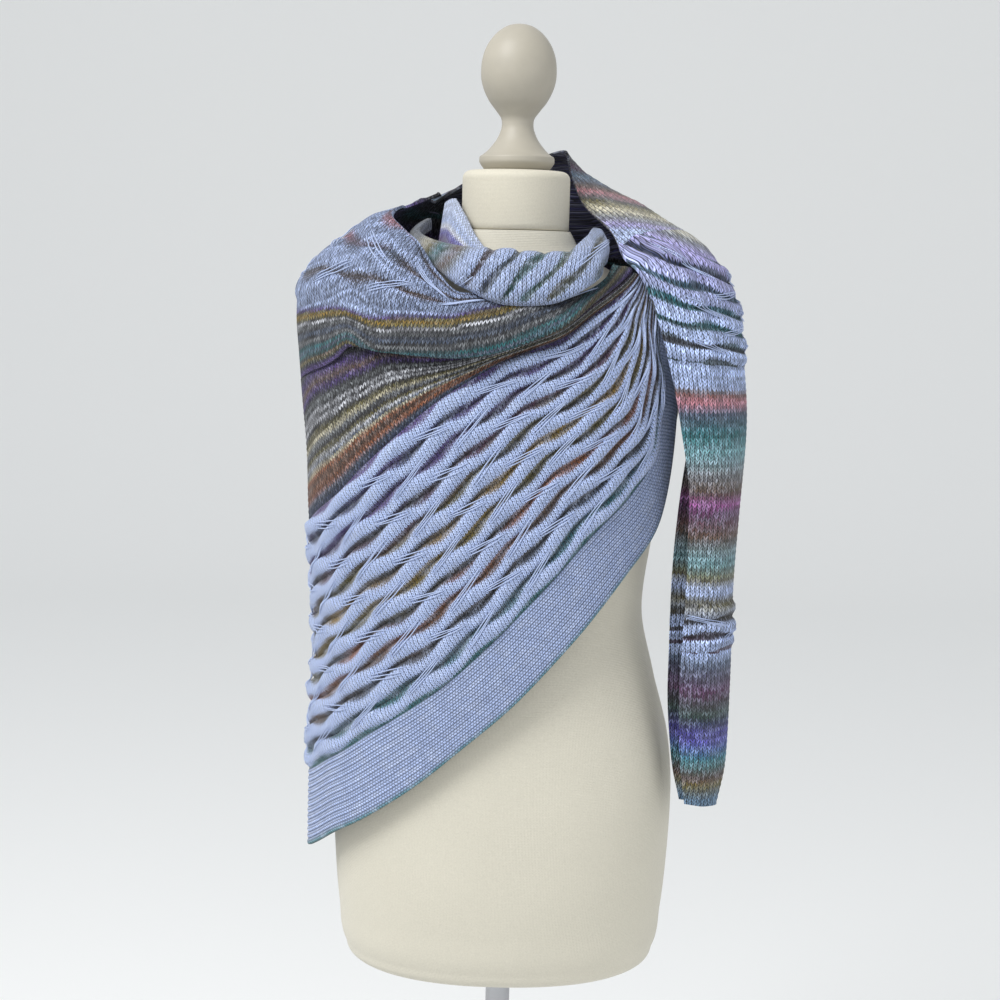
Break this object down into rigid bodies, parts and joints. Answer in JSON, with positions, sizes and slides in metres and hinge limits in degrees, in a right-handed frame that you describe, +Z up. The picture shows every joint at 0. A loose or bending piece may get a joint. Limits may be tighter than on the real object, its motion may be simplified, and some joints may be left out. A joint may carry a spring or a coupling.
{
  "type": "knitted shawl on a dress form",
  "caption": "Knitted blue shawl with quilted lattice, gradient stripes and a garter border, wrapped over one shoulder of a limbless dress form on a round base.",
  "frame": {"origin": "centre of the base's underside, on the floor under the pole", "axes": "+Z up along the pole, -Y to the front, +X to the wearer's left, where the shawl's tail hangs"},
  "size_m": [0.4444, 0.33, 1.5655],
  "materials": {
    "blue_knit": "garter stitch wool, light blue",
    "quilted_knit": "quilted slip-stitch wool, light blue over mixed dark yarn",
    "striped_knit": "stocking stitch wool with gradient stripes",
    "form_cover": "smooth cream jersey cover",
    "neck_cover": "smooth cream cover",
    "painted_finial": "satin greige paint on turned wood",
    "pole_metal": "satin steel tube",
    "base_metal": "satin silver painted plate"
  },
  "bodies": {
    "root": {"front_border": "blue_knit", "front_lattice": "quilted_knit", "front_stripes": "striped_knit", "chest_fold": "striped_knit", "back_border": "blue_knit", "back_lattice": "quilted_knit", "back_stripes": "striped_knit", "back_yoke": "striped_knit", "neck_roll": "quilted_knit", "neck_layer": "striped_knit", "collar": "striped_knit", "tail": "striped_knit", "form_body": "form_cover", "neck_block": "neck_cover", "finial": "painted_finial", "pole": "pole_metal", "base": "base_metal"}
  },
  "joints": []
}
